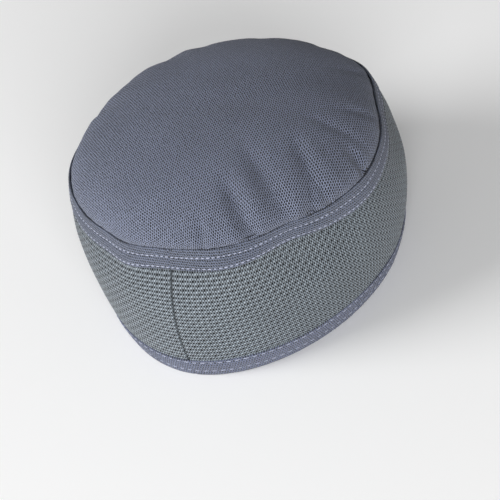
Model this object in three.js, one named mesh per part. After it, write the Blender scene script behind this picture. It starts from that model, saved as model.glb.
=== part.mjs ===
// A soft round cap of canvas and mesh cloth, standing on its lower edge.
// Millimetres, +Z up, +Y the back of the head, -X the wearer's right. The origin is the middle of the
// opening, on the plane that the lower edge rests on. A bearing is an angle round the cap in degrees,
// 0 at the back seam and growing towards the wearer's right.

import * as THREE from 'three';

const seamHeight = 81.3; // crown seam above the lower edge
const domeRise = 25; // top of the crown above its seam
const domeFullness = 2.28; // 2 is an ellipsoid, more is flatter on top
const crownInset = 1.1; // the crown's edge stands this far inside the upper strip's face
const crownThickness = 1.5;
const creaseDepth = 0.8; // how far the seam creases in below the crown's edge
const creaseDrop = 0.8;
const crownTuckTop = 1.7; // the crown's turned-down edge, measured inwards and down from the seam
const crownTuckDepth = 4.2;

const stripHeight = 11; // upper strip, from the seam down
const stripThickness = 1.2;
const hemHeight = 12.2; // outer leg of the binding
const hemInnerHeight = 10.6;
const hemThickness = 1.1;
const hemFold = 1.3; // cloth left under the mesh at the fold

const meshThickness = 1.3;
const layerGap = 0.3; // air between two layers of cloth
const meshSetBack = 0.9; // the mesh lies this far inside the faces of the strip and the binding
const meshTop = 75.7; // the mesh ends here, behind the upper strip and clear of the crown's edge
const seamAllowance = 5; // the mesh's two ends turned in at the back seam
const seamRound = 0.45; // rounding of their folded corners

const notchDepth = 0.5; // the joints of the upper strip and the binding at the back
const seamHalfBearing = 0.12; // half the width of the back seam
const notchBearing = 0.75; // where the cloth is back at its full face beside that seam

// The outer face in plan: half length front to back, half width side to side, and squareness,
// where 2 is an ellipse and less is more pointed.
const wallSections = [
  { height: 0, halfLength: 100.4, halfWidth: 81.9, squareness: 1.88 },
  { height: 11, halfLength: 102.0, halfWidth: 86.0, squareness: 1.9 },
  { height: 22, halfLength: 102.2, halfWidth: 89.2, squareness: 1.93 },
  { height: 34, halfLength: 101.7, halfWidth: 91.3, squareness: 1.96 },
  { height: 46, halfLength: 100.9, halfWidth: 92.1, squareness: 2.0 },
  { height: 56, halfLength: 98.9, halfWidth: 91.7, squareness: 2.0 },
  { height: 64, halfLength: 95.3, halfWidth: 90.4, squareness: 2.0 },
  { height: 71, halfLength: 91.6, halfWidth: 89.2, squareness: 2.0 },
  { height: 76, halfLength: 89.4, halfWidth: 88.4, squareness: 2.0 },
  { height: 81.3, halfLength: 87.4, halfWidth: 87.4, squareness: 2.0 },
];

// Where the wall swells out or is drawn in at the crown seam, how much more the crown's edge lies
// inside it, and how the strip's height wavers there.
const seamBends = [
  { bearing: -70, seamOut: 2.0, crownIn: 2.2, stripMore: 0, spread: 15 },
  { bearing: -50, seamOut: 2.4, crownIn: 0, stripMore: 0.3, spread: 24 },
  { bearing: -16, seamOut: 2.0, crownIn: 0, stripMore: 1.0, spread: 8 },
  { bearing: 17, seamOut: 0.4, crownIn: 0, stripMore: 1.0, spread: 9 },
  { bearing: 42, seamOut: -3.4, crownIn: 0, stripMore: -1.6, spread: 11 },
  { bearing: 75, seamOut: 1.8, crownIn: 0, stripMore: 1.2, spread: 14 },
  { bearing: 119, seamOut: -3.2, crownIn: 0, stripMore: 0.4, spread: 17 },
  { bearing: 150, seamOut: 1.0, crownIn: 0, stripMore: 0, spread: 14 },
];
const bendFadeStart = 42; // the bends fade out down the wall, between these heights
const bendFadeEnd = 70;

// Folds of the crown: the bearing where each starts and where it meets the seam, the share of the
// radius where it starts, its depth (minus is a ridge) and its half width.
const crownFolds = [
  { start: 12, rim: 12, from: 0.84, depth: 0.8, halfWidth: 2.2 },
  { start: 20, rim: 28, from: 0.66, depth: 2.4, halfWidth: 4.2 },
  { start: 33, rim: 35, from: 0.62, depth: -0.8, halfWidth: 5 },
  { start: 44, rim: 42, from: 0.42, depth: 2.4, halfWidth: 4.4 },
  { start: 52, rim: 47, from: 0.55, depth: -0.8, halfWidth: 4 },
  { start: 70, rim: 52, from: 0.55, depth: 2.4, halfWidth: 4 },
  { start: 64, rim: 60, from: 0.84, depth: 1.1, halfWidth: 2.4 },
  { start: 76, rim: 66, from: 0.6, depth: -0.7, halfWidth: 5 },
  { start: 79, rim: 79, from: 0.88, depth: 1.2, halfWidth: 2.6 },
  { start: 99, rim: 95, from: 0.3, depth: 2.6, halfWidth: 12 },
  { start: 122, rim: 121, from: 0.6, depth: 1.6, halfWidth: 9 },
  { start: 158, rim: 160, from: 0.74, depth: 1.1, halfWidth: 6 },
  { start: -176, rim: -174, from: 0.78, depth: 0.9, halfWidth: 6 },
  { start: -150, rim: -150, from: 0.76, depth: 0.7, halfWidth: 4 },
  { start: -142, rim: -142, from: 0.7, depth: -0.8, halfWidth: 5 },
  { start: -133, rim: -133, from: 0.76, depth: 0.8, halfWidth: 4 },
  { start: -123, rim: -123, from: 0.6, depth: -0.8, halfWidth: 9 },
  { start: -97, rim: -96, from: 0.68, depth: 1.7, halfWidth: 6 },
];
const foldRunIn = 0.24; // share of the radius over which a fold deepens
const foldAtSeam = 0.5; // share of its depth left at the seam itself

// Columns of faces round the cap, closest together where the folds are.
const columnRuns = [
  { from: 3, to: 108, count: 42 },
  { from: 108, to: 357, count: 53 },
];

const radians = THREE.MathUtils.degToRad;
const smoothstep = THREE.MathUtils.smoothstep;

// Shortest signed angle from one bearing to another, in degrees.
function bearingGap(bearing, target) {
  return THREE.MathUtils.euclideanModulo(bearing - target + 180, 360) - 180;
}

// A smooth bump of 1 at zero distance.
function bump(distance, spread) {
  return Math.exp(-((distance / spread) ** 2));
}

// A named column of the wall table at any height, on a curve through its rows.
function wallValue(name, height) {
  const rows = wallSections;
  const clamped = THREE.MathUtils.clamp(height, rows[0].height, rows[rows.length - 1].height);
  let i = 0;
  while (i < rows.length - 2 && rows[i + 1].height < clamped) i += 1;
  const before = rows[Math.max(i - 1, 0)];
  const after = rows[Math.min(i + 2, rows.length - 1)];
  const span = rows[i + 1].height - rows[i].height;
  const t = (clamped - rows[i].height) / span;
  const slopeIn = ((rows[i + 1][name] - before[name]) / (rows[i + 1].height - before.height)) * span;
  const slopeOut = ((after[name] - rows[i][name]) / (after.height - rows[i].height)) * span;
  const rise = rows[i + 1][name] - rows[i][name];
  return rows[i][name] + slopeIn * t + (3 * rise - 2 * slopeIn - slopeOut) * t * t
    + (slopeIn + slopeOut - 2 * rise) * t * t * t;
}

// Sum of one named column of the seam bends at a bearing.
function seamBend(name, bearing) {
  return seamBends.reduce(
    (sum, bend) => sum + bend[name] * bump(bearingGap(bearing, bend.bearing), bend.spread), 0);
}

// Distance of the outer face from the axis.
function wallRadius(bearing, height) {
  const power = wallValue('squareness', height);
  const along = Math.abs(Math.cos(radians(bearing))) / wallValue('halfLength', height);
  const across = Math.abs(Math.sin(radians(bearing))) / wallValue('halfWidth', height);
  const oval = (along ** power + across ** power) ** (-1 / power);
  return oval + seamBend('seamOut', bearing) * smoothstep(height, bendFadeStart, bendFadeEnd);
}

// How far the crown's edge lies inside the outer face.
function crownEdgeIn(bearing) {
  return crownInset + seamBend('crownIn', bearing);
}

function stripBottom(bearing) {
  return seamHeight - stripHeight - seamBend('stripMore', bearing);
}

function atBearing(bearing, radius, height) {
  return new THREE.Vector3(-Math.sin(radians(bearing)) * radius, Math.cos(radians(bearing)) * radius, height);
}

// A point of a layer: so far inwards from the outer face, at a height.
function wallPoint(bearing, inward, height) {
  return atBearing(bearing, wallRadius(bearing, height) - inward, height);
}

// How far the crown sinks under its smooth dome, at a bearing and a share of the radius.
function foldDepth(bearing, share) {
  const fade = 1 - (1 - foldAtSeam) * smoothstep(share, 0.93, 1);
  return crownFolds.reduce((sum, fold) => {
    const run = THREE.MathUtils.clamp((share - fold.from) / (1 - fold.from), 0, 1);
    const line = fold.start + bearingGap(fold.rim, fold.start) * run;
    const aside = radians(bearingGap(bearing, line)) * share * wallRadius(bearing, seamHeight);
    const depth = fold.depth * bump(aside, fold.halfWidth);
    return sum + depth * smoothstep(share, fold.from, fold.from + foldRunIn) * fade;
  }, 0);
}

// A point of the crown, so far under its smooth outer face.
function domePoint(bearing, share, under) {
  const edge = wallRadius(bearing, seamHeight) - crownEdgeIn(bearing);
  const flat = Math.sqrt(1 - share ** domeFullness);
  const lean = Math.atan2(domeRise * share, edge * Math.max(flat, 1e-6));
  const depth = under + foldDepth(bearing, share);
  const radius = edge * share - Math.sin(lean) * depth;
  return atBearing(bearing, Math.max(radius, 0), seamHeight + domeRise * flat - Math.cos(lean) * depth);
}

// Bearings of all columns, both sides of the back seam included.
function columnBearings() {
  const bearings = [seamHalfBearing, notchBearing];
  for (const run of columnRuns) {
    for (let i = 0; i < run.count; i += 1) {
      bearings.push(run.from + ((run.to - run.from) * i) / run.count);
    }
  }
  return [...bearings, columnRuns[1].to, 360 - notchBearing, 360 - seamHalfBearing];
}

// Two triangles for a four-sided face, split along its shorter diagonal.
function splitQuad(points, a, b, c, d) {
  const alongFirst = points[a].distanceTo(points[c]) <= points[b].distanceTo(points[d]);
  return alongFirst ? [a, b, c, a, c, d] : [a, b, d, b, c, d];
}

function facedGeometry(points, faces) {
  const geometry = new THREE.BufferGeometry().setFromPoints(points);
  geometry.setIndex(faces);
  geometry.computeVertexNormals();
  return geometry;
}

// A closed body from one ring of points for each column. Rings close on themselves; the body either
// goes right round, or ends in two flat caps, given as triangles of one ring's corners.
function ringBody(rings, capTriangles) {
  const size = rings[0].length;
  const points = rings.flat();
  const faces = [];
  const spans = capTriangles ? rings.length - 1 : rings.length;
  for (let i = 0; i < spans; i += 1) {
    const here = i * size;
    const next = ((i + 1) % rings.length) * size;
    for (let j = 0; j < size; j += 1) {
      const k = (j + 1) % size;
      faces.push(...splitQuad(points, here + j, here + k, next + k, next + j));
    }
  }
  for (const [a, b, c] of capTriangles ?? []) {
    const last = (rings.length - 1) * size;
    faces.push(a, b, c, last + a, last + c, last + b);
  }
  return facedGeometry(points, faces);
}

// The crown: a thin dome, creased in at the seam, with its edge turned down behind the upper strip.
// Each column is a line from the top of the outer face to the top of the inner face.
function crownGeometry() {
  const outerShares = [0.16, 0.32, 0.46, 0.58, 0.69, 0.79, 0.87, 0.93, 0.97, 1];
  const innerShares = [0.96, 0.87, 0.74, 0.58, 0.36];
  const tuckInner = crownTuckTop + crownThickness;
  const tuckBottom = seamHeight - crownTuckDepth;
  const columns = columnBearings().map((bearing) => [
    ...outerShares.map((share) => domePoint(bearing, share, 0)),
    wallPoint(bearing, crownEdgeIn(bearing) + creaseDepth, seamHeight - creaseDrop),
    wallPoint(bearing, crownTuckTop, tuckBottom),
    wallPoint(bearing, tuckInner, tuckBottom),
    wallPoint(bearing, crownEdgeIn(bearing) + creaseDepth + crownThickness, seamHeight - creaseDrop),
    ...innerShares.map((share) => domePoint(bearing, share, crownThickness)),
  ]);
  const size = columns[0].length;
  const topOuter = columns.length * size;
  const points = [...columns.flat(), atBearing(0, 0, seamHeight + domeRise),
    atBearing(0, 0, seamHeight + domeRise - crownThickness)];
  const faces = [];
  columns.forEach((column, i) => {
    const here = i * size;
    const next = ((i + 1) % columns.length) * size;
    faces.push(topOuter, here, next);
    for (let j = 0; j < size - 1; j += 1) {
      faces.push(...splitQuad(points, here + j, here + j + 1, next + j + 1, next + j));
    }
    faces.push(topOuter + 1, next + size - 1, here + size - 1);
  });
  return facedGeometry(points, faces);
}

// Depth of the joint at the back, full at the seam and gone beside it.
function notch(bearing) {
  return Math.abs(bearingGap(bearing, 0)) < notchBearing * 0.5 ? notchDepth : 0;
}

// The upper strip: one layer of canvas lying on the top of the mesh, its edges softly rounded.
function stripGeometry() {
  const rings = columnBearings().map((bearing) => {
    const bottom = stripBottom(bearing);
    const middle = (seamHeight + bottom) / 2;
    const outline = [
      { inward: 0.3, height: bottom },
      { inward: stripThickness - 0.2, height: bottom },
      { inward: stripThickness, height: middle },
      { inward: stripThickness, height: seamHeight - 1 },
      { inward: 0.8, height: seamHeight - 0.4 },
      { inward: 0.25, height: seamHeight - 1 },
      { inward: notch(bearing), height: seamHeight - 2.4 },
      { inward: notch(bearing), height: middle },
      { inward: notch(bearing), height: bottom + 0.6 },
    ];
    return outline.map((corner) => wallPoint(bearing, corner.inward, corner.height));
  });
  return ringBody(rings);
}

// The mesh band: one layer round the cap, its ends turned in side by side at the back seam.
// It bows out a little between the binding and the upper strip.
function meshGeometry() {
  const tuckedFace = hemThickness + layerGap;
  const bearings = columnBearings();
  const allowanceBearing = notchBearing + 0.05;
  const all = [...bearings.slice(0, 2), allowanceBearing, ...bearings.slice(2, -2),
    360 - allowanceBearing, ...bearings.slice(-2)];
  const rings = all.map((bearing) => {
    const aside = Math.abs(bearingGap(bearing, 0));
    const corner = aside < notchBearing * 0.5 ? seamRound : 0;
    const allowance = aside <= notchBearing ? seamAllowance : meshThickness;
    const strip = stripBottom(bearing);
    const levels = [
      { height: hemFold + layerGap, inward: tuckedFace, inner: true },
      { height: hemHeight + 0.6, inward: tuckedFace, inner: true },
      { height: 17, inward: meshSetBack, inner: true },
      { height: 30, inward: meshSetBack },
      { height: 42, inward: meshSetBack, inner: true },
      { height: 54, inward: meshSetBack },
      { height: strip - 5, inward: meshSetBack, inner: true },
      { height: strip - 1, inward: stripThickness + layerGap },
      { height: meshTop, inward: stripThickness + layerGap, inner: true },
    ];
    const outer = levels.map((level) => wallPoint(bearing, level.inward + corner, level.height));
    const inner = levels.filter((level) => level.inner).map((level) => {
      const depth = level.height > hemHeight + 1 ? allowance : meshThickness;
      return wallPoint(bearing, level.inward + depth, level.height);
    });
    return [...inner, ...outer.reverse()];
  });
  const flat = rings[0].map((point) => new THREE.Vector2(Math.hypot(point.x, point.y), point.z));
  const caps = THREE.ShapeUtils.triangulateShape(flat, []);
  return ringBody(rings, caps);
}

// The hem binding: a strip folded up round the lower edge of the mesh, flat where it rests.
function hemGeometry() {
  const slotInner = hemThickness + meshThickness + 2 * layerGap;
  const inside = slotInner + hemThickness;
  const rings = columnBearings().map((bearing) => {
    const outline = [
      { inward: 0.9, height: 0 },
      { inward: inside - 0.8, height: 0 },
      { inward: inside, height: 0.9 },
      { inward: inside, height: hemInnerHeight - 0.4 },
      { inward: inside - 0.5, height: hemInnerHeight },
      { inward: slotInner, height: hemInnerHeight - 0.4 },
      { inward: slotInner, height: hemFold },
      { inward: hemThickness, height: hemFold },
      { inward: hemThickness, height: hemHeight - 0.5 },
      { inward: 0.6, height: hemHeight },
      { inward: notch(bearing), height: hemHeight - 0.6 },
      { inward: notch(bearing), height: hemHeight / 2 },
      { inward: notch(bearing), height: 1 },
    ];
    return outline.map((corner) => wallPoint(bearing, corner.inward, corner.height));
  });
  return ringBody(rings);
}

const canvas = { color: 0x6c7282, roughness: 0.92, metalness: 0 };
const meshCloth = { color: 0x7a828a, roughness: 0.9, metalness: 0 };
const bindingCloth = { color: 0x82899d, roughness: 0.92, metalness: 0 };

const pieces = [
  { name: 'crown', geometry: crownGeometry(), finish: canvas },
  { name: 'upper_strip', geometry: stripGeometry(), finish: canvas },
  { name: 'mesh_band', geometry: meshGeometry(), finish: meshCloth },
  { name: 'hem_binding', geometry: hemGeometry(), finish: bindingCloth },
];

const cap = new THREE.Group();
for (const { name, geometry, finish } of pieces) {
  const mesh = new THREE.Mesh(geometry, new THREE.MeshStandardMaterial(finish));
  mesh.name = name;
  cap.add(mesh);
}

export default cap;
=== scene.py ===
import math
import random

import bmesh
import bpy
import numpy as np
from mathutils import Matrix, Vector


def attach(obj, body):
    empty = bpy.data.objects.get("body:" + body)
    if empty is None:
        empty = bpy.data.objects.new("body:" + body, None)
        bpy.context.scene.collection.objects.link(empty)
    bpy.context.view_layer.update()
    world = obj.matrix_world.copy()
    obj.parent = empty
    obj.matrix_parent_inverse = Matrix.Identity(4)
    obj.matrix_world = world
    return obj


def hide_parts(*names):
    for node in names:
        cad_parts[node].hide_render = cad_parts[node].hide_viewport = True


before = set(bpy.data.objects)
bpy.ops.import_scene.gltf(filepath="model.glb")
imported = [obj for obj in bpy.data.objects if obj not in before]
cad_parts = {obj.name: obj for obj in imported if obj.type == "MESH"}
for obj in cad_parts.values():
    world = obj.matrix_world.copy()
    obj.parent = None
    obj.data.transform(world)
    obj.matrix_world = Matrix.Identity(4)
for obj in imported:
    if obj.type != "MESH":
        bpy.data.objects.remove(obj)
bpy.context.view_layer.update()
mm = 0.001  # shapes are worked out in millimetres, the scene is in metres

# A soft round cap that rests on its lower edge: canvas crown, pinhole mesh side, stitched canvas strips.
# A bearing goes round the cap in degrees, 0 at the back seam and growing towards the wearer's right.

capShape = {
    "seamHeight": 81.3,      # crown seam above the lower edge
    "domeRise": 25,          # top of the crown above its seam
    "domeFullness": 2.28,    # 2 is an ellipsoid, more is flatter on top
    "crownInset": 1.1,       # edge of the crown inside the strip's face
    "stripHeight": 11,
    "hemHeight": 12.2,
    "bendStart": 42,         # bends of the seam fade out down the wall between these heights
    "bendEnd": 70,
    "girthHeight": 45,       # where the length round the cap is measured
}

# the wall's outer face in plan, by height
wallSections = [
    {"height": 0, "halfLength": 100.4, "halfWidth": 81.9, "squareness": 1.88},
    {"height": 11, "halfLength": 102.0, "halfWidth": 86.0, "squareness": 1.9},
    {"height": 22, "halfLength": 102.2, "halfWidth": 89.2, "squareness": 1.93},
    {"height": 34, "halfLength": 101.7, "halfWidth": 91.3, "squareness": 1.96},
    {"height": 46, "halfLength": 100.9, "halfWidth": 92.1, "squareness": 2.0},
    {"height": 56, "halfLength": 98.9, "halfWidth": 91.7, "squareness": 2.0},
    {"height": 64, "halfLength": 95.3, "halfWidth": 90.4, "squareness": 2.0},
    {"height": 71, "halfLength": 91.6, "halfWidth": 89.2, "squareness": 2.0},
    {"height": 76, "halfLength": 89.4, "halfWidth": 88.4, "squareness": 2.0},
    {"height": capShape["seamHeight"], "halfLength": 87.4, "halfWidth": 87.4, "squareness": 2.0},
]

# where the wall swells or is drawn in at the crown seam
seamBends = [
    {"bearing": -70, "seamOut": 2.0, "crownIn": 1.6, "stripMore": 0, "spread": 15},
    {"bearing": -50, "seamOut": 2.4, "crownIn": 0, "stripMore": 0.3, "spread": 24},
    {"bearing": -16, "seamOut": 2.0, "crownIn": 0, "stripMore": 1.0, "spread": 8},
    {"bearing": 17, "seamOut": 0.4, "crownIn": 0, "stripMore": 1.0, "spread": 9},
    {"bearing": 42, "seamOut": -3.4, "crownIn": 0, "stripMore": -1.6, "spread": 11},
    {"bearing": 75, "seamOut": 1.8, "crownIn": 0, "stripMore": 1.2, "spread": 14},
    {"bearing": 119, "seamOut": -3.2, "crownIn": 0.3, "stripMore": 0.4, "spread": 17},
    {"bearing": 141, "seamOut": 3.6, "crownIn": 0.4, "stripMore": 0, "spread": 15},
]


def smoothstep(value, low, high):
    t = np.clip((value - low) / (high - low), 0, 1)
    return t * t * (3 - 2 * t)


def bump(distance, spread):
    return np.exp(-((distance / spread) ** 2))


def bearingGap(bearing, target):
    return (bearing - target + 180) % 360 - 180


def wallValue(name, height):  # a column of the wall table, on a curve through its rows
    heights = np.array([row["height"] for row in wallSections], float)
    values = np.array([row[name] for row in wallSections], float)
    height = np.clip(height, heights[0], heights[-1])
    i = np.clip(np.searchsorted(heights, height) - 1, 0, len(heights) - 2)
    before = np.maximum(i - 1, 0)
    after = np.minimum(i + 2, len(heights) - 1)
    span = heights[i + 1] - heights[i]
    t = (height - heights[i]) / span
    slopeIn = (values[i + 1] - values[before]) / (heights[i + 1] - heights[before]) * span
    slopeOut = (values[after] - values[i]) / (heights[after] - heights[i]) * span
    rise = values[i + 1] - values[i]
    curve = (3 * rise - 2 * slopeIn - slopeOut) * t**2 + (slopeIn + slopeOut - 2 * rise) * t**3
    return values[i] + slopeIn * t + curve


def sumAround(rows, name, bearing):  # what a table of bearings adds at a bearing, each row within its spread
    return sum(row[name] * bump(bearingGap(bearing, row["bearing"]), row["spread"]) for row in rows)


def wallRadius(bearing, height):
    power = wallValue("squareness", height)
    along = np.abs(np.cos(np.radians(bearing))) / wallValue("halfLength", height)
    across = np.abs(np.sin(np.radians(bearing))) / wallValue("halfWidth", height)
    oval = (along**power + across**power) ** (-1 / power)
    bend = sumAround(seamBends, "seamOut", bearing)
    return oval + bend * smoothstep(height, capShape["bendStart"], capShape["bendEnd"])


def atBearing(bearing, radius, height):
    angle = np.radians(bearing)
    return np.stack([-np.sin(angle) * radius, np.cos(angle) * radius, height + 0 * angle], -1)


def wallPoint(bearing, inward, height):
    return atBearing(bearing, wallRadius(bearing, height) - inward, height)


def stripBottom(bearing):
    return capShape["seamHeight"] - capShape["stripHeight"] - sumAround(seamBends, "stripMore", bearing)


def lengthTable(points):  # length along a row of points
    steps = np.linalg.norm(np.diff(points, axis=0), axis=1)
    return np.concatenate([[0], np.cumsum(steps)])


girthBearings = np.linspace(0, 360, 1441)  # every quarter of a degree
girthLine = wallPoint(girthBearings, 0, np.full_like(girthBearings, capShape["girthHeight"]))
girthLengths = lengthTable(girthLine)
girth = girthLengths[-1]  # all the way round, about half way up the wall


def bearingAlong(length):  # the bearing after a length round the cap, so that cloth isn't stretched
    return np.interp(length, girthLengths, girthBearings)


def lengthAlong(bearing):
    return np.interp(bearing % 360, girthBearings, girthLengths)


# Small irregularities of soft cloth: a few crossing waves, the same each run
def softWaves(x, y, wavelength, seed):
    chance = random.Random(seed)
    total = 0
    for _ in range(5):
        turn = chance.uniform(0, 2 * math.pi)
        length = wavelength * chance.uniform(0.7, 1.5)
        phase = chance.uniform(0, 2 * math.pi)
        total = total + np.sin((x * math.cos(turn) + y * math.sin(turn)) * 2 * math.pi / length + phase)
    return total / 5


# Making pieces

spinRadius = 100.0  # outlines are spun at this radius first, then laid onto the cap


def spinOutline(bm, columns):  # all wires of bm go once round the upright axis
    bmesh.ops.spin(bm, geom=bm.verts[:] + bm.edges[:], cent=(0, 0, 0), axis=(0, 0, 1),
                   angle=2 * math.pi, steps=columns // 4, use_merge=True, use_duplicate=False)
    bmesh.ops.remove_doubles(bm, verts=bm.verts, dist=1e-4)
    rings = []
    for edge in bm.edges:
        one, other = edge.verts[0].co, edge.verts[1].co
        if abs(one.z - other.z) < 1e-3 and abs(one.xy.length - other.xy.length) < 1e-3:
            rings.append(edge)
    bmesh.ops.subdivide_edges(bm, edges=rings, cuts=3, use_grid_fill=True)
    bmesh.ops.recalc_face_normals(bm, faces=bm.faces)


def spunPoints(points):  # bearing, distance in from the spin radius, and height
    bearing = np.degrees(np.arctan2(-points[:, 0], points[:, 1])) % 360
    return bearing, spinRadius - np.hypot(points[:, 0], points[:, 1]), points[:, 2]


def meshPoints(mesh):
    points = np.empty(len(mesh.vertices) * 3)
    mesh.vertices.foreach_get("co", points)
    return points.reshape(-1, 3)


def makePiece(name, bm, place, material, node=None, wrap=None):
    mesh = bpy.data.meshes.new(name)
    bm.to_mesh(mesh)
    bm.free()
    points, uv = place(meshPoints(mesh))
    mesh.vertices.foreach_set("co", (points * mm).ravel())
    corners = np.empty(len(mesh.loops), int)
    mesh.loops.foreach_get("vertex_index", corners)
    loopUv = uv[corners]
    if wrap:  # faces over the back seam would run the pattern backwards all round
        quads = loopUv.reshape(-1, 4, 2)
        crossing = np.ptp(quads[:, :, 0], axis=1) > wrap / 2
        quads[crossing, :, 0] += np.where(quads[crossing, :, 0] < wrap / 2, wrap, 0)
    mesh.uv_layers.new(name="cloth").data.foreach_set("uv", loopUv.ravel())
    mesh.polygons.foreach_set("use_smooth", np.ones(len(mesh.polygons), bool))
    mesh.materials.append(material)
    mesh.update()
    piece = bpy.data.objects.new(name, mesh)
    bpy.context.scene.collection.objects.link(piece)
    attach(piece, "root")
    if node:
        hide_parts(node)
    return piece


# Finishes

def linear(colour):  # sRGB hex to the linear values that shaders take
    channels = [int(colour[i:i + 2], 16) / 255 for i in (0, 2, 4)]
    return [c / 12.92 if c <= 0.04045 else ((c + 0.055) / 1.055) ** 2.4 for c in channels] + [1]


def newMaterial(name, surface):
    material = bpy.data.materials.new(name)
    material.use_nodes = True
    shader = material.node_tree.nodes["Principled BSDF"]
    for setting, value in surface.items():
        shader.inputs[setting].default_value = value
    return material, shader


# Inputs go by place or by name, and each is a value or another node's output. It gives the new node's outputs
def addNode(material, kind, inputs=(), **settings):
    node = material.node_tree.nodes.new("ShaderNode" + kind)
    for name, value in settings.items():
        setattr(node, name, value)
    for place, value in (inputs.items() if isinstance(inputs, dict) else enumerate(inputs)):
        if isinstance(value, bpy.types.NodeSocket):
            material.node_tree.links.new(value, node.inputs[place])
        else:
            node.inputs[place].default_value = value
    return node.outputs


# MapRange takes a value, its range and the new range. Mix takes the share as 0 and two colours as 6 and 7,
# and gives the mixed colour as 2
softStep = {"interpolation_type": "SMOOTHSTEP"}
blend = {"data_type": "RGBA"}
shaded = {"data_type": "RGBA", "blend_type": "MULTIPLY"}


def finishCloth(material, shader, colour, height, depth):
    place = addNode(material, "TexCoord")["Object"]
    mottle = addNode(material, "TexNoise", {"Vector": place, "Scale": 28.0, "Detail": 3.0})["Fac"]
    # uneven dye and handling, in patches of about 35 mm
    shade = addNode(material, "MapRange", (mottle, 0.3, 0.7, 0.93, 1.05), **softStep)[0]
    colour = addNode(material, "Mix", {0: 1.0, 6: colour, 7: shade}, **shaded)[2]
    normal = addNode(material, "Bump", {"Height": height, "Strength": 1.0, "Distance": depth * mm})[0]
    material.node_tree.links.new(colour, shader.inputs["Base Color"])
    material.node_tree.links.new(normal, shader.inputs["Normal"])


def wandering(material, uv, scale, amount):  # the cloth's coordinates, unsettled by a soft noise
    noise = addNode(material, "TexNoise", {"Vector": uv, "Scale": scale, "Detail": 2.0})["Color"]
    noise = addNode(material, "VectorMath", (noise, (0.5, 0.5, 0.5)), operation="SUBTRACT")[0]
    return addNode(material, "VectorMath", (noise, amount, uv), operation="MULTIPLY_ADD")[0]


# The canvas shows as two crossing waves of threads: millimetres a wave, and direction in degrees.
# They are coarser than its real threads, and as far apart as they show in the photo
canvasWeave = {
    "crown": {"threads": (1.357, 48.7), "crossThreads": (1.193, 5.1)},
    "strip": {"threads": (1.22, 33), "crossThreads": (1.27, 88)},
    "binding": {"threads": (1.34, 24), "crossThreads": (1.34, -26)},
    "slant": 0.6,           # how much the slanting lines between the two show
    "pitDepth": 0.6,
    "fibreSize": 0.14,
    "fibreTurn": 0.72,      # radians
    "unevenScale": 0.35,
    "uneven": 0.95,         # threads wander by about a tenth of this, in millimetres
    "blotchScale": 0.55,    # the weave is more and less open in patches of about 2 mm
    "front": (-78, -2),     # over this stretch towards the front of the crown it lies closer, and painted shade darkens it
    "frontOpenness": (0.35, 1.05),
    "frontPaintedShade": (0.65, 1.0),
    "side": (-70, 60),      # and over this one it opens towards the folds on the wearer's right
    "sideOpenness": (1.22, 0.88),
}


def threadPhase(material, place, threads):
    length, angle = threads[0], math.radians(threads[1])
    direction = Vector((math.cos(angle), math.sin(angle), 0)) * (2 * math.pi / length)
    return addNode(material, "VectorMath", (place, direction), operation="DOT_PRODUCT")["Value"]


# Woven cotton and polyester canvas, piece dyed: matt, with painted shade in the small pits where its round
# threads cross
def wovenCanvas(name, threadColour, pitShadeColour, weave):
    material, shader = newMaterial(name, {"Roughness": 0.85, "Specular IOR Level": 0.25,
                                          "Sheen Weight": 0.2, "Sheen Roughness": 0.5})
    uv = addNode(material, "UVMap", uv_map="cloth")["UV"]
    wander = wandering(material, uv, canvasWeave["unevenScale"], (canvasWeave["uneven"],) * 3)
    first = threadPhase(material, wander, weave["threads"])
    second = threadPhase(material, wander, weave["crossThreads"])
    between = addNode(material, "Math", (first, second), operation="SUBTRACT")[0]
    grid = 0.0
    for phase, weight in ((first, 1.0), (second, 1.0), (between, canvasWeave["slant"])):
        wave = addNode(material, "Math", (phase,), operation="COSINE")[0]
        grid = addNode(material, "Math", (wave, weight, grid), operation="MULTIPLY_ADD")[0]

    blotchScale = canvasWeave["blotchScale"]
    blotch = addNode(material, "TexNoise", {"Vector": uv, "Scale": blotchScale, "Detail": 1.0})["Fac"]
    blotch = addNode(material, "MapRange", (blotch, 0.3, 0.7, 0.7, 1.1), **softStep)[0]
    split = addNode(material, "SeparateXYZ", (uv,))
    front, side = (split["Y"], *canvasWeave["front"]), (split["X"], *canvasWeave["side"])
    closer = addNode(material, "MapRange", (*front, *canvasWeave["frontOpenness"]), **softStep)[0]
    opener = addNode(material, "MapRange", (*side, *canvasWeave["sideOpenness"]), **softStep)[0]
    pit = addNode(material, "MapRange", (grid, -0.9, 0.8), **softStep)[0]
    for openness in (blotch, closer, opener):
        pit = addNode(material, "Math", (pit, openness), operation="MULTIPLY")[0]

    stretched = addNode(material, "Mapping", {"Vector": wander, "Rotation": (0, 0, canvasWeave["fibreTurn"]),
                                              "Scale": (1 / canvasWeave["fibreSize"], 1, 1)})[0]
    fibres = addNode(material, "TexNoise", {"Vector": stretched, "Scale": 1.0, "Detail": 2.0})["Fac"]
    thread = addNode(material, "MapRange", (fibres, 0.25, 0.75, 0.84, 1.14), **softStep)[0]
    # painted shade: the canvas darker towards the front of the crown
    paintedFrontShade = addNode(material, "MapRange", (*front, *canvasWeave["frontPaintedShade"]), **softStep)[0]
    colour = addNode(material, "Mix", {0: pit, 6: linear(threadColour), 7: linear(pitShadeColour)}, **blend)[2]
    for shade in (thread, paintedFrontShade):
        colour = addNode(material, "Mix", {0: 1.0, 6: colour, 7: shade}, **shaded)[2]
    height = addNode(material, "Math", (pit, -1.0, thread), operation="MULTIPLY_ADD")[0]
    finishCloth(material, shader, colour, height, canvasWeave["pitDepth"])
    return material


# The knit is counted in columns and rows of holes
holeColumns = 396  # round the cap, about 1.53 mm apart, as in the photo
holeRows = 29      # up the mesh, 2.3 mm apart
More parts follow.
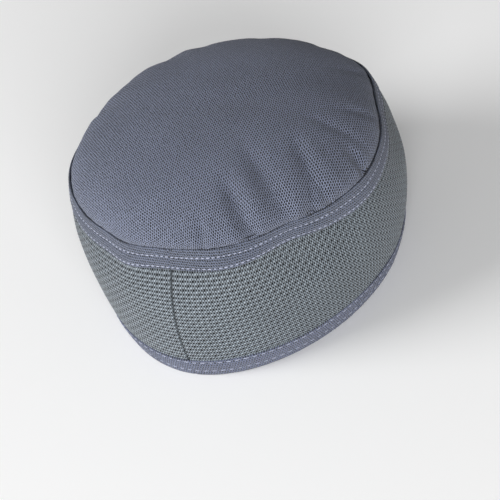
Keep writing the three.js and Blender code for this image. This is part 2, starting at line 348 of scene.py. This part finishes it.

# Its tone is a sum of crossing waves: turns in a column and the column where they start, the same for rows,
# and a weight: below 0 it darkens towards the painted shade of the holes, above 0 it lightens towards the
# painted highlight of the floats
knitWaves = [
    {"across": (0, 0), "up": (1, 0.5), "weight": -0.12},                # the rows of holes
    {"across": (3 / holeColumns, 2), "up": (1, 0.5), "weight": -0.09},  # the rows more marked at the back and the temples: painted highlight and shade
    {"across": (1, 0.5), "up": (1, 0.5), "weight": -0.45},              # every hole
    {"across": (0.25, 0.5), "up": (0.5, 0.5), "weight": -0.12},         # big holes against middle ones
    {"across": (0.25, 1.5), "up": (0.5, 0), "weight": 0.06},            # longer floats between the rows
    {"across": (0.5, 1.5), "up": (0, 0), "weight": 0.08},               # the columns of pinholes
]


# Warp-knitted polyester pinhole mesh: smoother yarn than canvas, with painted shade in and round its holes
# and a painted highlight on the floats between its rows
def knittedMesh(name, holeShadeColour, yarnColour, floatHighlightColour):
    material, shader = newMaterial(name, {"Roughness": 0.6, "Specular IOR Level": 0.4, "Sheen Weight": 0.15})
    uv = addNode(material, "UVMap", uv_map="cloth")["UV"]  # in columns and rows of holes
    split = addNode(material, "SeparateXYZ", (wandering(material, uv, 0.9, (0.3, 0.25, 0)),))
    tone = 0.0
    for row in knitWaves:
        crossing = []
        for place, (turns, start) in ((split["X"], row["across"]), (split["Y"], row["up"])):
            turn = 2 * math.pi * turns
            phase = addNode(material, "Math", (place, turn, -turn * start), operation="MULTIPLY_ADD")[0]
            crossing.append(addNode(material, "Math", (phase,), operation="COSINE")[0])
        wave = addNode(material, "Math", crossing, operation="MULTIPLY")[0]
        tone = addNode(material, "Math", (wave, row["weight"], tone), operation="MULTIPLY_ADD")[0]
    yarn = addNode(material, "MapRange", (tone, -0.3, 0.15), **softStep)[0]
    floatHighlight = addNode(material, "MapRange", (tone, 0.1, 0.8), **softStep)[0]
    fibres = addNode(material, "TexNoise", {"Vector": uv, "Scale": 5.0, "Detail": 2.0})["Fac"]
    shade = addNode(material, "MapRange", (fibres, 0.25, 0.75, 0.8, 1.2), **softStep)[0]
    # painted shade in the holes, the yarn's own colour between, and a painted highlight on the floats
    colour = addNode(material, "Mix", {0: yarn, 6: linear(holeShadeColour), 7: linear(yarnColour)}, **blend)[2]
    colour = addNode(material, "Mix", {0: floatHighlight, 6: colour, 7: linear(floatHighlightColour)}, **blend)[2]
    colour = addNode(material, "Mix", {0: 1.0, 6: colour, 7: shade}, **shaded)[2]
    finishCloth(material, shader, colour, yarn, 0.25)
    return material


# The walls of the holes, deep between the yarns: painted shade, dark and without shine, so that each hole
# reads as a hole
def shadedHoleWalls(name, colour):
    return newMaterial(name, {"Base Color": linear(colour), "Roughness": 1.0, "Specular IOR Level": 0.1})[0]


# Spun polyester sewing thread, paler than the cloth: a soft shine and a twist of fine plies, with painted
# shade in the grooves of the twist
def sewingThread(name, colour):
    material, shader = newMaterial(name, {"Roughness": 0.5, "Sheen Weight": 0.1})
    uv = addNode(material, "UVMap", uv_map="cloth")["UV"]
    split = addNode(material, "SeparateXYZ", (uv,))
    plyPitch = 0.5  # millimetres for one turn of the twist, coarser than real thread so that it shows
    turns = addNode(material, "Math", (split["X"], 1 / plyPitch, split["Y"]), operation="MULTIPLY_ADD")[0]
    angle = addNode(material, "Math", (turns, 2 * math.pi), operation="MULTIPLY")[0]
    ply = addNode(material, "Math", (angle,), operation="SINE")[0]
    # painted shade in the grooves between the plies
    shade = addNode(material, "MapRange", (ply, -1.0, 0.6, 0.72, 1.0), **softStep)[0]
    twisted = addNode(material, "Mix", {0: 1.0, 6: linear(colour), 7: shade}, **shaded)[2]
    finishCloth(material, shader, twisted, ply, 0.06)
    return material


# each canvas: its thread colour, then the painted shade in its pits
crownCanvas = wovenCanvas("dyed woven canvas", "828AA2", "0B0D13", canvasWeave["crown"])
stripCanvas = wovenCanvas("canvas of the upper strip", "666E83", "12141A", canvasWeave["strip"])
bindingCanvas = wovenCanvas("canvas of the binding", "676F89", "12141A", canvasWeave["binding"])
# the mesh: painted shade of its holes, its yarn's own colour, and the painted highlight on its floats
pinholeMesh = knittedMesh("knitted pinhole mesh", "030405", "656E76", "9CA6AE")
meshHoleShade = shadedHoleWalls("painted shade of the mesh holes", "121416")
paleThread = sewingThread("pale polyester thread", "ADB2C7")
print("finishes made")


# The crown: a round of canvas, spun flat, then domed, folded and tucked in at its seam

crownCloth = {
    "columns": 400,
    "rings": 64,
    "thickness": 1.2,
    "meanRadius": 86,          # at this size its pattern and its unevenness are measured
    "tuckRings": 6,
    "tuckIn": (0.8, 1.7),      # past its edge the cloth creases in and runs down behind the strip
    "tuckDrop": (0.8, 4.2),
    "closeInset": -0.1,        # its edge over the strip's face where the seam lies close
    "closeLift": 0.15,
    "waves": 0.25,             # height and length of soft unevenness
    "waveLength": 38,
    "gathers": 0.3,            # and of small gathers where it is sewn to the strip
    "gatherLength": 11,
    "gathersFrom": 0.9,        # share of the radius where the gathers start, and where they are whole
    "gathersFull": 0.99,
    "foldRunIn": 0.24,         # share of the radius over which a fold deepens
    "foldEase": 0.92,          # and from where it eases towards the seam
    "backEase": 0.0014,        # the weave is eased closer towards the back
}

# folds: bearing where they start and at the seam, share of the radius where they start,
# depth, half width, and the share of the depth left at the seam
crownFolds = [
    {"start": 11.5, "rim": 12.8, "from": 0.76, "depth": 2.1, "halfWidth": 2.6, "left": 0.5},
    {"start": 16, "rim": 17, "from": 0.84, "depth": -0.4, "halfWidth": 2.5, "left": 0.5},
    {"start": 23, "rim": 29.5, "from": 0.54, "depth": 3.5, "halfWidth": 4.6, "left": 0.75},
    {"start": 34, "rim": 36, "from": 0.62, "depth": -0.6, "halfWidth": 4.5, "left": 0.3},
    {"start": 44, "rim": 43, "from": 0.4, "depth": 2.0, "halfWidth": 5, "left": 0.35},
    {"start": 56, "rim": 48, "from": 0.6, "depth": -0.6, "halfWidth": 4, "left": 0.3},
    {"start": 75, "rim": 53, "from": 0.5, "depth": 2.3, "halfWidth": 4.0, "left": 0.8},
    {"start": 62, "rim": 60, "from": 0.78, "depth": 2.0, "halfWidth": 2.4, "left": 0.5},
    {"start": 74, "rim": 66, "from": 0.6, "depth": -0.7, "halfWidth": 4.5, "left": 0.4},
    {"start": 84, "rim": 79, "from": 0.78, "depth": 3.8, "halfWidth": 3.6, "left": 0.7},
    {"start": 92, "rim": 86.5, "from": 0.5, "depth": 0.9, "halfWidth": 3.2, "left": 0.5},
    {"start": 101.5, "rim": 105.5, "from": 0.66, "depth": 0.9, "halfWidth": 3, "left": 0.5},
    {"start": 139, "rim": 134, "from": 0.7, "depth": 0.9, "halfWidth": 3.5, "left": 0.5},
    {"start": 158, "rim": 160, "from": 0.74, "depth": 1.0, "halfWidth": 6, "left": 0.5},
    {"start": -176, "rim": -174, "from": 0.78, "depth": 0.9, "halfWidth": 6, "left": 0.5},
    {"start": -150, "rim": -150, "from": 0.76, "depth": 0.7, "halfWidth": 4, "left": 0.5},
    {"start": -142, "rim": -142, "from": 0.7, "depth": -0.8, "halfWidth": 5, "left": 0.5},
    {"start": -133, "rim": -133, "from": 0.76, "depth": 0.8, "halfWidth": 4, "left": 0.5},
    {"start": -123, "rim": -123, "from": 0.6, "depth": -0.8, "halfWidth": 9, "left": 0.5},
    {"start": -97, "rim": -96, "from": 0.68, "depth": 1.7, "halfWidth": 6, "left": 0.5},
]

# how far the seam is drawn in, 1 where it makes a dark crease and 0 where the cloths lie close, by bearing
seamCrease = {-180: 1, -75: 0.8, -64: 0.45, -45: 0.8, -25: 0.55, -12: 0.2, 15: 0.2, 21: 0.5, 27: 0.05,
              56: 0.05, 63: 0.45, 80: 0.6, 90: 1, 180: 1}

# where the crown comes down to its seam less steeply: all over the back, and at the wearer's right temple
gentleSlopes = [
    {"bearing": 22, "amount": 0.35, "spread": 68},
    {"bearing": 137, "amount": 0.45, "spread": 16},
]


def foldDepth(bearing, share):
    total = 0
    for fold in crownFolds:
        run = np.clip((share - fold["from"]) / (1 - fold["from"]), 0, 1)
        line = fold["start"] + bearingGap(fold["rim"], fold["start"]) * run
        aside = np.radians(bearingGap(bearing, line)) * share * wallRadius(bearing, capShape["seamHeight"])
        depth = fold["depth"] * bump(aside, fold["halfWidth"])
        depth = depth * smoothstep(share, fold["from"], fold["from"] + crownCloth["foldRunIn"])
        total = total + depth * (1 - (1 - fold["left"]) * smoothstep(share, crownCloth["foldEase"], 1))
    return total


def creased(bearing):
    return np.interp(bearingGap(bearing, 0), list(seamCrease), list(seamCrease.values()))


def rimInset(bearing):  # the crown's edge lies over the strip where the seam isn't drawn in
    close = crownCloth["closeInset"]
    drawn = (capShape["crownInset"] - close) * creased(bearing)
    return close + drawn + sumAround(seamBends, "crownIn", bearing)


def domePoint(bearing, share):
    seam = capShape["seamHeight"] + crownCloth["closeLift"] * (1 - creased(bearing))
    edge = wallRadius(bearing, seam) - rimInset(bearing)
    flat = np.sqrt(np.clip(1 - share ** capShape["domeFullness"], 0, 1))
    flat = flat ** (1 + sumAround(gentleSlopes, "amount", bearing))
    rise = capShape["domeRise"]
    lean = np.arctan2(rise * share, edge * np.maximum(flat, 1e-6))
    reach = share * crownCloth["meanRadius"]
    x, y = reach * np.sin(np.radians(bearing)), reach * np.cos(np.radians(bearing))
    waves = crownCloth["waves"] * softWaves(x, y, crownCloth["waveLength"], seed=4)
    gathers = crownCloth["gathers"] * softWaves(lengthAlong(bearing), 0, crownCloth["gatherLength"], seed=9)
    gathers = gathers * smoothstep(share, crownCloth["gathersFrom"], crownCloth["gathersFull"])
    depth = foldDepth(bearing, share) + waves + gathers
    return atBearing(bearing, edge * share - np.sin(lean) * depth, seam + rise * flat - np.cos(lean) * depth)


def placeCrown(points):
    bearing, inside, _ = spunPoints(points)
    share = np.clip((spinRadius - inside) / spinRadius, 0, 1)
    tuck = np.clip(-inside / crownCloth["tuckRings"], 0, 1)
    crease = np.clip(tuck * 3, 0, 1)         # the first third of the tuck goes in
    below = np.clip(tuck * 1.5 - 0.5, 0, 1)  # and the rest runs down
    rim = rimInset(bearing)
    lift = crownCloth["closeLift"] * (1 - creased(bearing))
    creaseIn, tuckIn = crownCloth["tuckIn"]
    creaseDrop, tuckDrop = crownCloth["tuckDrop"]
    creaseDrop = creaseDrop * creased(bearing)
    inward = rim + creaseIn * crease + (tuckIn - rim - creaseIn) * below
    drop = creaseDrop * crease + (tuckDrop - creaseDrop) * below
    tucked = wallPoint(bearing, inward, capShape["seamHeight"] + lift * (1 - below) - drop)
    placed = np.where((tuck > 0)[:, None], tucked, domePoint(bearing, share))
    # the cloth is cut flat, so its pattern follows the length from the top along the dome
    shares = np.linspace(0, 1, 200)
    rise = capShape["domeRise"] * np.sqrt(1 - shares ** capShape["domeFullness"])
    profile = np.stack([shares * crownCloth["meanRadius"], rise], -1)
    length = np.interp(share, shares, lengthTable(profile)) + tuck * tuckDrop
    u, v = -np.sin(np.radians(bearing)) * length, np.cos(np.radians(bearing)) * length
    v = v + crownCloth["backEase"] * v * np.maximum(v, 0)
    return placed, np.stack([u, v], -1)


def makeCrown():
    count = crownCloth["rings"]
    # the rings lie closer towards the seam
    rings = [math.sin(math.pi / 2 * k / count) * spinRadius for k in range(count + 1)]
    rings += [spinRadius + k for k in range(1, crownCloth["tuckRings"] + 1)]
    bm = bmesh.new()
    line = [bm.verts.new((0, radius, 0)) for radius in rings]
    for inner, outer in zip(line, line[1:]):
        bm.edges.new((inner, outer))
    spinOutline(bm, crownCloth["columns"])
    if sum(face.normal.z for face in bm.faces) < 0:
        bmesh.ops.reverse_faces(bm, faces=bm.faces)
    crown = makePiece("crownCloth", bm, placeCrown, crownCanvas, "crown")
    thick = crown.modifiers.new("cloth thickness", "SOLIDIFY")
    thick.thickness = crownCloth["thickness"] * mm
    thick.offset = -1


makeCrown()
print("crown made")


# The two stitched strips: rounded outlines spun once round, then laid on the wall

upperStrip = {
    "columns": 720,
    "height": capShape["stripHeight"],
    "outline": [
        {"inward": 0, "height": capShape["stripHeight"], "round": 0.55},
        {"inward": 0, "height": 0, "round": 0.4},
        {"inward": 1.2, "height": 0, "round": 0.3},
        {"inward": 1.2, "height": 10.4, "round": 0.3},
    ],
    "underSeam": True,             # it hangs from the bent crown seam
    "meshEdge": 0,                 # height of the edge that is pressed on the mesh
    "stitchRows": (1.35, 6.7),     # heights above its lower edge
    "stitchPitch": 3.25,
    "stitchLength": 2.3,
    "innerFace": 3.4,              # where the stitches show inside, on the mesh
    "seed": 6,
}

hemBinding = {
    "columns": 720,
    "height": capShape["hemHeight"],
    "outline": [
        {"inward": 0, "height": capShape["hemHeight"], "round": 0.45},
        {"inward": 0, "height": 0, "round": 0.9},
        {"inward": 4.1, "height": 0, "round": 0.8},
        {"inward": 4.1, "height": 10.6, "round": 0.45},
        {"inward": 3.0, "height": 10.6, "round": 0.3},
        {"inward": 3.0, "height": 1.3, "round": 0.3},
        {"inward": 1.1, "height": 1.3, "round": 0.3},
        {"inward": 1.1, "height": capShape["hemHeight"], "round": 0.15},
    ],
    "underSeam": False,            # it stands on the ground
    "meshEdge": capShape["hemHeight"],
    "stitchRows": (4.2, 11.0),
    "stitchPitch": 4.8,
    "stitchLength": 3.1,
    "innerFace": 4.1,
    "seed": 8,
}

# how the cloth of both strips is drawn in along the stitches
puckers = {
    "channel": 0.28,     # how deep a row of stitches is drawn in
    "halfWidth": 0.75,
    "perStitch": 0.3,    # share of that depth that comes and goes with each stitch
    "puff": 0.15,        # the cloth swells between the rows
    "edge": 0.38,        # how far the edge at the mesh is pressed in
    "edgeWidth": 0.9,
    "waves": 0.12,       # height and length of soft unevenness
    "waveLength": 14,
    "notch": 0.45,       # depth and half width, in degrees, of the notch where a strip's ends meet
    "notchWidth": 0.35,
    "facePoints": 13,    # put up each face, so that it can pucker
}


def stitchCount(strip):
    return round(girth / strip["stitchPitch"])


def drawnIn(strip, length, height):  # depth of the stitched channels in a strip's face
    depth = -puckers["puff"] * np.sin(np.clip(height / strip["height"], 0, 1) * math.pi) ** 2
    depth = depth + puckers["edge"] * bump(height - strip["meshEdge"], puckers["edgeWidth"])
    phase = np.cos(2 * math.pi * length / girth * stitchCount(strip))
    pull = puckers["channel"] * (1 - puckers["perStitch"] + puckers["perStitch"] * phase)
    for row in strip["stitchRows"]:
        depth = depth + pull * bump(height - row, puckers["halfWidth"])
    return depth


def jointNotch(bearing):
    return puckers["notch"] * bump(bearingGap(bearing, 0), puckers["notchWidth"])


def heightOnWall(strip, bearing, height):
    if strip["underSeam"]:
        bottom = stripBottom(bearing)
        height = bottom + height / strip["height"] * (capShape["seamHeight"] - bottom)
    return height


def stripPlace(strip):
    def place(points):
        bearing, inward, height = spunPoints(points)
        bearing = bearingAlong(bearing / 360 * girth)
        length = lengthAlong(bearing)
        face = 1 - np.clip(inward, 0, 1)  # what its face does dies away a millimetre deep
        waves = puckers["waves"] * softWaves(length, height, puckers["waveLength"], strip["seed"])
        lifted = inward + face * (drawnIn(strip, length, height) + jointNotch(bearing) + waves)
        uv = np.stack([length, height - inward], -1)
        return wallPoint(bearing, lifted, heightOnWall(strip, bearing, height)), uv
    return place


def makeStrip(name, strip, material, node):
    bm = bmesh.new()
    corners = [bm.verts.new((0, spinRadius - row["inward"], row["height"])) for row in strip["outline"]]
    for here, after in zip(corners, corners[1:] + corners[:1]):
        bm.edges.new((here, after))
    for row in strip["outline"]:
        spot = Vector((0, spinRadius - row["inward"], row["height"]))
        corner = min(bm.verts, key=lambda vert: (vert.co - spot).length)
        bmesh.ops.bevel(bm, geom=[corner], offset=row["round"], affect="VERTICES", segments=3,
                        profile=0.5, material=-1)
    upright = [edge for edge in bm.edges if edge.calc_length() > strip["height"] / 2]
    bmesh.ops.subdivide_edges(bm, edges=upright, cuts=puckers["facePoints"])
    spinOutline(bm, strip["columns"])
    makePiece(name, bm, stripPlace(strip), material, node, wrap=girth)


makeStrip("upperStripCloth", upperStrip, stripCanvas, "upper_strip")
makeStrip("hemBindingCloth", hemBinding, bindingCanvas, "hem_binding")
print("strips made")


# The stitches: short threads that dip into the cloth at both ends, outside and inside

sewing = {
    "threadRadius": 0.31,
    "pressedFlat": 0.8,   # share of its thickness with which a thread stands out
    "sink": 0.3,          # how far the ends go in
    "sunkInside": 0.1,
    "lengthJitter": 0.15,
    "slantJitter": 0.1,
    "pulledIn": 0.12,     # some stitches lie deeper than others
    "wander": 0.2,        # the rows aren't quite straight
    "wanderLength": 23,
}


def placeStitches(strip, inside, seed):
    chance = np.random.default_rng(seed)
    pulled = chance.random((len(strip["stitchRows"]), stitchCount(strip))) ** 2 * sewing["pulledIn"]

    def place(points):
        length, out, height = points.T
        rows = np.array(strip["stitchRows"])
        which = np.abs(height[:, None] - rows).argmin(axis=1)
        row = rows[which]
        angle = np.arctan2(height - row, out) / (2 * math.pi)
        passed = length / (girth / stitchCount(strip))  # in stitches
        fromMiddle = passed % 1 * 2 - 1                 # -1 and 1 are the needle holes
        sink = sewing["sink"] * fromMiddle**4 + pulled[which, passed.astype(int) % stitchCount(strip)]
        # each row wanders in its own way, as if the rows lay far apart
        height = height + sewing["wander"] * softWaves(length, row * 50, sewing["wanderLength"], seed)
        bearing = bearingAlong(length % girth)
        if inside:
            inward = strip["innerFace"] - sewing["sunkInside"] + out - sink
        else:
            inward = drawnIn(strip, length, row) + jointNotch(bearing) - out * sewing["pressedFlat"] + sink
        uv = np.stack([length, angle], -1)
        return wallPoint(bearing, inward, heightOnWall(strip, bearing, height)), uv
    return place


def makeStitches(name, strip, inside, seed):
    chance = random.Random(seed)
    bm = bmesh.new()
    bmesh.ops.create_uvsphere(bm, u_segments=8, v_segments=6, radius=1,
                              matrix=Matrix.Rotation(math.pi / 2, 4, "Y"))
    if inside:
        bmesh.ops.reverse_faces(bm, faces=bm.faces)
    oneStitch = bpy.data.meshes.new("stitch")
    bm.to_mesh(oneStitch)
    bm.clear()
    pitch = girth / stitchCount(strip)
    for row in strip["stitchRows"]:
        for k in range(stitchCount(strip)):
            half = strip["stitchLength"] / 2 * (1 + chance.uniform(-1, 1) * sewing["lengthJitter"])
            slant = Matrix.Rotation(chance.uniform(-1, 1) * sewing["slantJitter"], 4, "Y")
            middle = Matrix.Translation(((k + 0.5) * pitch, 0, row))
            size = Matrix.Diagonal((half, sewing["threadRadius"], sewing["threadRadius"], 1))
            stitch = oneStitch.copy()
            stitch.transform(middle @ slant @ size)
            bm.from_mesh(stitch)
            bpy.data.meshes.remove(stitch)
    bpy.data.meshes.remove(oneStitch)
    makePiece(name, bm, placeStitches(strip, inside, seed), paleThread)


makeStitches("upperStitches", upperStrip, inside=False, seed=21)
makeStitches("upperStitchesInside", upperStrip, inside=True, seed=22)
makeStitches("hemStitches", hemBinding, inside=False, seed=23)
makeStitches("hemStitchesInside", hemBinding, inside=True, seed=24)
print("stitches made")


# The mesh band: flat panels of pinhole knit, holes cut, laid on the wall with their ends turned in

knit = {
    "from": 8,                # from inside the binding to behind the upper strip
    "to": 74.5,
    "panels": 4,
    "rowsAt": 30,             # bearing where the rows are spaced out
    "turnedIn": 3,            # columns turned in at each side of the back seam
    "seamGap": 0.42,
    "seamRound": 0.5,
    "seamBow": -1.1,          # degrees that the back seam bows to the left
    "bowHeight": 30,          # around this height
    "bowSpread": 22,
    "bowReach": 14,           # degrees beside the seam within which the cloth follows
    "thickness": 0.8,
    "setBack": 0.9,           # inside the faces of the strip and the binding
    "underStrip": 1.5,
    "underHem": 1.1,
    "clearOfHem": (0.3, 4.8),    # it comes out to its own face between these heights above the binding
    "clearOfStrip": (5, 0.8),    # and goes back between these heights below the strip
    "waves": 0.2,             # height and length of soft unevenness
    "waveLength": 32,
    "floatsOut": 0.16,        # how far the yarn between the rows of holes stands out
    "bigHole": (0.5, 0.52),      # half width and half height in millimetres
    "middleHole": (0.44, 0.44),
    "pinHole": (0.34, 0.32),
    "cellInset": 0.25,        # of a cell's width, for the square that becomes its hole
}


def knitInward(bearing, height):
    hem, strip = capShape["hemHeight"], stripBottom(bearing)
    hemFrom, hemTo = knit["clearOfHem"]
    stripFrom, stripTo = knit["clearOfStrip"]
    low = (knit["underHem"] - knit["setBack"]) * (1 - smoothstep(height, hem + hemFrom, hem + hemTo))
    high = (knit["underStrip"] - knit["setBack"]) * smoothstep(height, strip - stripFrom, strip - stripTo)
    return knit["setBack"] + low + high


def placeKnit(points):
    across, up = points[:, 0], points[:, 1]
    column, row = np.floor(across), np.floor(up)
    besideX, besideY = across - column - 0.5, up - row - 0.5
    onHole = np.maximum(np.abs(besideX), np.abs(besideY)) < 0.45  # all but the corners and sides of a cell
    big = (column % 2 == 0) & ((column // 2 + row) % 2 == 0)
    middle = (column % 2 == 0) & ~big
    heights = np.linspace(knit["from"], knit["to"], 200)
    climb = lengthTable(wallPoint(np.full_like(heights, knit["rowsAt"]), 0, heights))
    pitchAcross, pitchUp = girth / holeColumns, climb[-1] / holeRows
    halfWidth = np.select([big, middle], [knit["bigHole"][0], knit["middleHole"][0]], knit["pinHole"][0])
    halfHeight = np.select([big, middle], [knit["bigHole"][1], knit["middleHole"][1]], knit["pinHole"][1])
    angle = np.arctan2(besideY, besideX)
    across = np.where(onHole, column + 0.5 + np.cos(angle) * halfWidth / pitchAcross, across)
    up = np.where(onHole, row + 0.5 + np.sin(angle) * halfHeight / pitchUp, up)
    uv = np.stack([across, up], -1)

    height = np.interp(up * pitchUp, climb, heights)
    length = across * pitchAcross
    nearEnd = np.minimum(length, girth - length)
    bend = np.sqrt(nearEnd**2 + knit["seamRound"] ** 2)  # round the fold where an end turns in
    fromSeam = knit["seamGap"] + (nearEnd + bend) / 2
    turned = (bend - nearEnd) / 2
    length = np.where(length < girth / 2, fromSeam, girth - fromSeam)
    bearing = bearingAlong(length)
    bow = knit["seamBow"] * bump(height - knit["bowHeight"], knit["bowSpread"])
    bearing = bearing + bow * bump(bearingGap(bearing, 0), knit["bowReach"])
    floats = (np.cos(math.pi * (across - 1.5)) * 0.5 + 0.5) * np.cos(2 * math.pi * up)
    waves = knit["waves"] * softWaves(length, height, knit["waveLength"], seed=3)
    inward = knitInward(bearing, height) + turned + waves - knit["floatsOut"] * floats
    return wallPoint(bearing, inward, height), uv


def makeKnitPanel(index):
    perPanel = holeColumns // knit["panels"]
    first = index * perPanel - (knit["turnedIn"] if index == 0 else 0)
    last = (index + 1) * perPanel + (knit["turnedIn"] if index == knit["panels"] - 1 else 0)
    bm = bmesh.new()
    bmesh.ops.create_grid(bm, x_segments=last - first, y_segments=holeRows, size=0.5)
    bmesh.ops.scale(bm, vec=Vector((last - first, holeRows, 1)), verts=bm.verts)
    bmesh.ops.translate(bm, vec=((first + last) / 2, holeRows / 2, 0), verts=bm.verts)
    for edge in bm.edges:
        if edge.is_boundary:
            edge.smooth = False
    bmesh.ops.bisect_edges(bm, edges=bm.edges, cuts=1)
    cells = bm.faces[:]
    bmesh.ops.inset_individual(bm, faces=cells, thickness=knit["cellInset"], use_even_offset=True)
    bmesh.ops.delete(bm, geom=cells, context="FACES")
    panel = makePiece(f"knitPanel{index + 1}", bm, placeKnit, pinholeMesh, "mesh_band")
    # a second material: the painted shade of the hole walls
    panel.data.materials.append(meshHoleShade)
    thick = panel.modifiers.new("yarn thickness", "SOLIDIFY")
    thick.thickness = knit["thickness"] * mm
    thick.offset = -1
    # the rims round the holes take the painted shade of the hole walls
    thick.material_offset_rim = 1


for panelIndex in range(knit["panels"]):
    makeKnitPanel(panelIndex)
print("mesh made")


# Studio: pale floor, soft light from the viewer's side and from the left, the photo's view

studio = {
    "floorSize": 6.0,            # metres, as are the lights' distances and sizes
    "floorColour": "FBFBFB",
    "worldStrength": 0.25,
    "lights": [
        {"name": "front", "bearing": 30, "elevation": 15, "distance": 3.0, "size": 2.0, "power": 104},
        {"name": "left", "bearing": -60, "elevation": 25, "distance": 3.0, "size": 2.0, "power": 79},
    ],
    "lit": (0, 0, 50),           # the spot that the lights face, in millimetres
    "aim": (-7.8, 23.1, 21.9),   # the photo's view, in millimetres and degrees
    "azimuth": 212.008,
    "elevation": 40.234,
    "roll": -16.718,
    "distance": 1146.0,
    "lens": 147.69,
}


def pointAt(thing, target):
    thing.rotation_mode = "QUATERNION"
    thing.rotation_quaternion = (target - thing.location).to_track_quat("-Z", "Y")


def makeFloor():
    bm = bmesh.new()
    bmesh.ops.create_grid(bm, x_segments=8, y_segments=8, size=studio["floorSize"] / 2)
    mesh = bpy.data.meshes.new("floor")
    bm.to_mesh(mesh)
    bm.free()
    # uncoated paper is even and hardly shines, so the cap's soft shadow is all that shows on it
    colour = linear(studio["floorColour"])
    paper, _ = newMaterial("matt white paper", {"Base Color": colour, "Roughness": 0.9})
    mesh.materials.append(paper)
    floor = bpy.data.objects.new("floor", mesh)
    bpy.context.scene.collection.objects.link(floor)


def makeLights():
    world = bpy.data.worlds.new("soft room")
    world.use_nodes = True
    world.node_tree.nodes["Background"].inputs["Color"].default_value = (1, 1, 1, 1)
    world.node_tree.nodes["Background"].inputs["Strength"].default_value = studio["worldStrength"]
    bpy.context.scene.world = world
    centre = Vector(studio["lit"]) * mm
    for row in studio["lights"]:
        lamp = bpy.data.lights.new(row["name"], "AREA")
        lamp.shape = "DISK"
        lamp.size = row["size"]
        lamp.energy = row["power"]
        light = bpy.data.objects.new(row["name"], lamp)
        angle, rise = math.radians(row["bearing"]), math.radians(row["elevation"])
        away = Vector((-math.sin(angle) * math.cos(rise), math.cos(angle) * math.cos(rise), math.sin(rise)))
        light.location = centre + away * row["distance"]
        pointAt(light, centre)
        bpy.context.scene.collection.objects.link(light)


def makeCamera():
    turn, rise = math.radians(studio["azimuth"]), math.radians(studio["elevation"])
    back = Vector((math.sin(turn) * math.cos(rise), -math.cos(turn) * math.cos(rise), math.sin(rise)))
    camera = bpy.data.objects.new("camera", bpy.data.cameras.new("camera"))
    camera.data.lens = studio["lens"]
    camera.data.sensor_width = 36
    camera.location = (Vector(studio["aim"]) + back * studio["distance"]) * mm
    pointAt(camera, Vector(studio["aim"]) * mm)
    roll = Matrix.Rotation(math.radians(studio["roll"]), 3, "Z").to_quaternion()
    camera.rotation_quaternion = camera.rotation_quaternion @ roll
    bpy.context.scene.collection.objects.link(camera)
    bpy.context.scene.camera = camera


makeFloor()
makeLights()
makeCamera()
bpy.context.scene.view_settings.view_transform = "Standard"
print("studio made")
